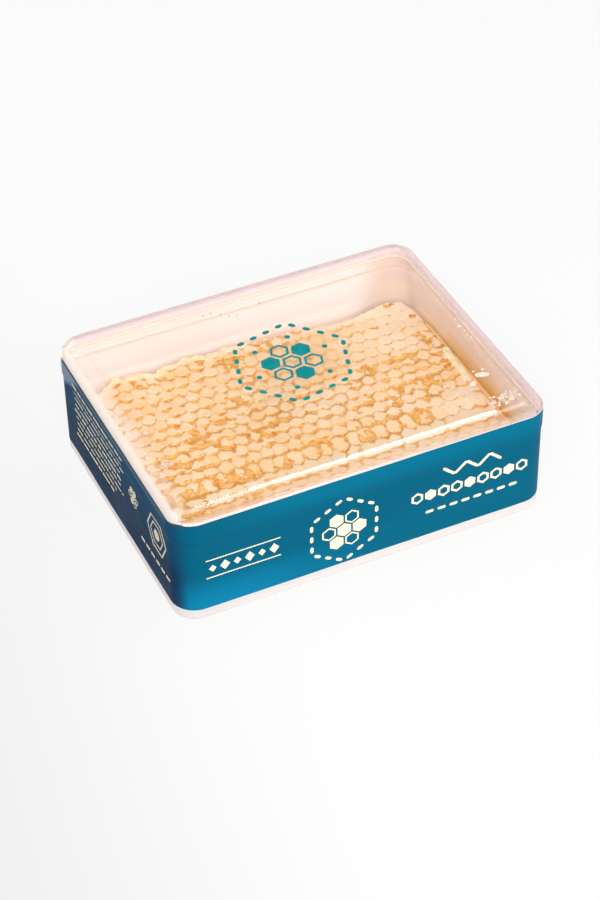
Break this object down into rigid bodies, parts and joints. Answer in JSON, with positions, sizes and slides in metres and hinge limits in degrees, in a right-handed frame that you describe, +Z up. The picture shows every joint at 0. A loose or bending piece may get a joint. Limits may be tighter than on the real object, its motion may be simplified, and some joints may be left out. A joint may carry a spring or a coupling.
{
  "type": "boxed honeycomb",
  "caption": "Rectangular slab of cut honeycomb in a clear plastic box with a push-on lid, held shut by a blue wrap band, for display and table use.",
  "frame": {"origin": "centre of the underside of the box, on the surface it stands on", "axes": "+X along the long side, -Y out of the long front side of the wrap band, +Z up out of the lid"},
  "size_m": [0.13, 0.1032, 0.0435],
  "materials": {
    "tray_plastic": "clear glossy moulded plastic",
    "lid_plastic": "clear glossy moulded plastic, faintly pink at the edges",
    "printed_band": "satin printed film, white on the back",
    "beeswax": "soft pale wax with honey in the valleys",
    "honey": "clear amber liquid"
  },
  "bodies": {
    "root": {"box_base": "tray_plastic", "box_lid": "lid_plastic", "wrap_band": "printed_band", "honeycomb": "beeswax", "honey_pool": "honey"}
  },
  "joints": []
}
